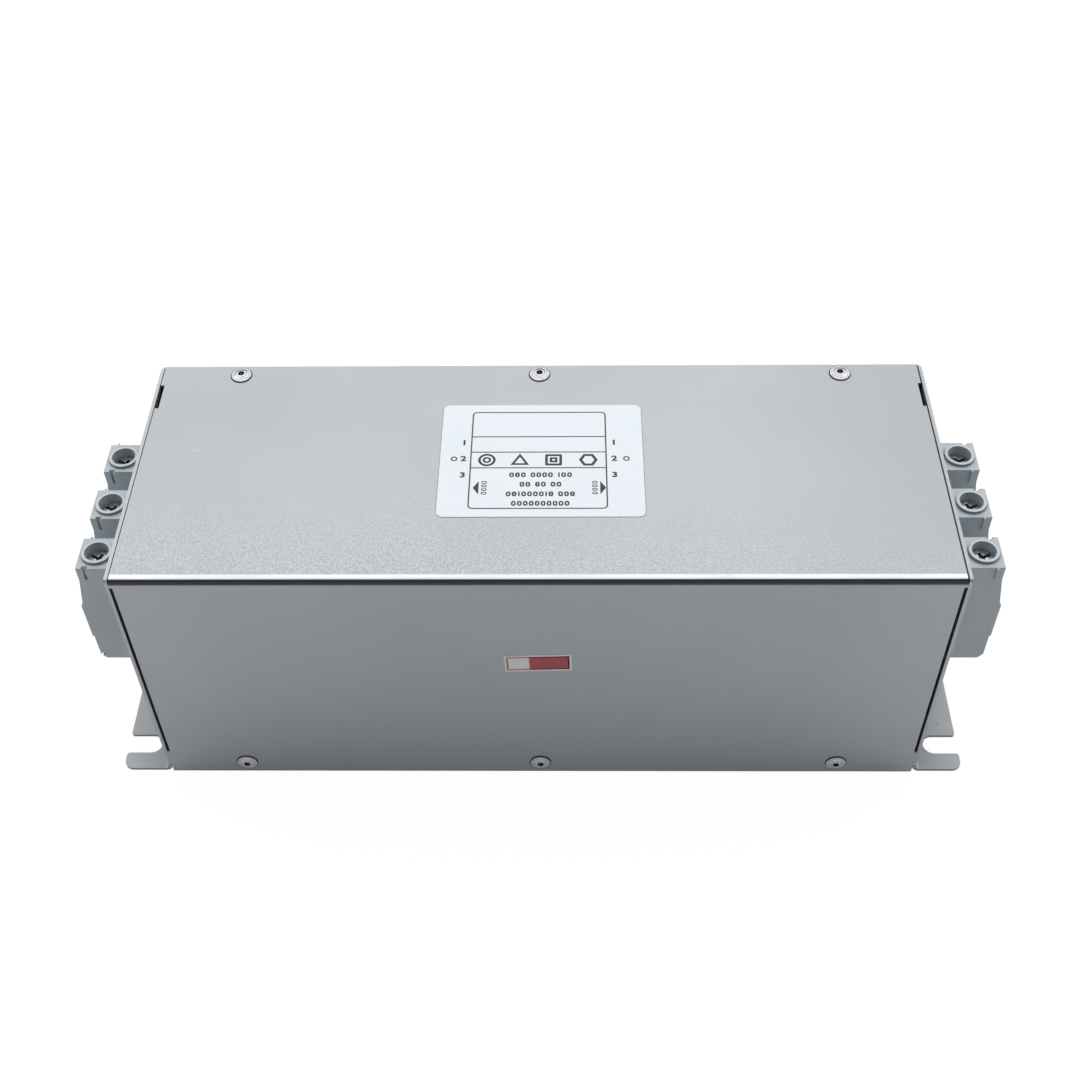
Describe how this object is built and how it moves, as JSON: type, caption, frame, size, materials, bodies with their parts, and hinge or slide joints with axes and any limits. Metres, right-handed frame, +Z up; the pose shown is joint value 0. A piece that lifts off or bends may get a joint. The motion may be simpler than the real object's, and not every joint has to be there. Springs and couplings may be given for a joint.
{
  "type": "emi line filter",
  "caption": "Three-phase power line filter: flat-topped folded sheet-metal box on slotted feet, with screw-clamp terminal blocks and an earth stud at each end",
  "frame": {"origin": "middle of the mounting plane, at the centre of the four foot slots", "axes": "+X along the length from the line end to the load end, -Y out of the front panel, +Z up from the mounting plane"},
  "size_m": [0.28, 0.0909, 0.0949],
  "materials": {
    "chassis_zinc": "satin zinc-coated sheet",
    "cover_zinc": "satin zinc-coated sheet with a fine spangle",
    "rivet_aluminium": "bright, drawn",
    "label_film": "matt white film",
    "sticker_film": "glossy silver and red film",
    "terminal_plastic": "fine moulded grain",
    "cage_steel": "zinc plated",
    "screw_steel": "zinc plated",
    "tinned_copper": "tinned",
    "stud_brass": "machined",
    "nut_zinc": "zinc plated",
    "lock_washer_steel": "zinc plated spring steel",
    "liner_film": "black film",
    "core_ribbon": "wound ribbon edge",
    "case_plastic": "moulded",
    "enamelled_copper": "clear enamel",
    "cradle_plastic": "moulded",
    "tie_nylon": "moulded nylon",
    "board_laminate": "solder resist",
    "board_hardware": "zinc plated",
    "capacitor_plastic": "moulded box",
    "earth_capacitor_plastic": "moulded box",
    "resistor_enamel": "enamelled",
    "earth_lead_sleeve": "PVC sleeve"
  },
  "bodies": {
    "root": {"chassis": "chassis_zinc", "cover": "cover_zinc", "top_rivets": "rivet_aluminium", "front_rivets": "rivet_aluminium", "rating_label": "label_film", "front_sticker": "sticker_film", "terminal_block_line_1": "terminal_plastic", "terminal_block_line_2": "terminal_plastic", "terminal_block_line_3": "terminal_plastic", "terminal_block_load_1": "terminal_plastic", "terminal_block_load_2": "terminal_plastic", "terminal_block_load_3": "terminal_plastic", "clamp_cage_line_1": "cage_steel", "clamp_cage_line_2": "cage_steel", "clamp_cage_line_3": "cage_steel", "clamp_cage_load_1": "cage_steel", "clamp_cage_load_2": "cage_steel", "clamp_cage_load_3": "cage_steel", "clamp_screw_line_1": "screw_steel", "clamp_screw_line_2": "screw_steel", "clamp_screw_line_3": "screw_steel", "clamp_screw_load_1": "screw_steel", "clamp_screw_load_2": "screw_steel", "clamp_screw_load_3": "screw_steel", "current_bar_line_1": "tinned_copper", "current_bar_line_2": "tinned_copper", "current_bar_line_3": "tinned_copper", "current_bar_load_1": "tinned_copper", "current_bar_load_2": "tinned_copper", "current_bar_load_3": "tinned_copper", "earth_studs": "stud_brass", "earth_washers": "nut_zinc", "earth_lock_washers": "lock_washer_steel", "earth_nuts": "nut_zinc", "insulating_liner": "liner_film", "choke_core": "core_ribbon", "core_case_cup": "case_plastic", "core_case_lid": "case_plastic", "choke_winding_1": "enamelled_copper", "choke_winding_2": "enamelled_copper", "choke_winding_3": "enamelled_copper", "choke_cradle": "cradle_plastic", "choke_tie": "tie_nylon", "line_board": "board_laminate", "load_board": "board_laminate", "board_spacers": "board_hardware", "board_screws": "board_hardware", "line_capacitor_1": "capacitor_plastic", "line_capacitor_2": "capacitor_plastic", "line_capacitor_3": "capacitor_plastic", "load_capacitor_1": "capacitor_plastic", "load_capacitor_2": "capacitor_plastic", "load_capacitor_3": "capacitor_plastic", "earth_capacitor": "earth_capacitor_plastic", "discharge_resistors": "resistor_enamel", "line_tap_wires": "tinned_copper", "load_tap_wires": "tinned_copper", "earth_lead": "earth_lead_sleeve"}
  },
  "joints": []
}
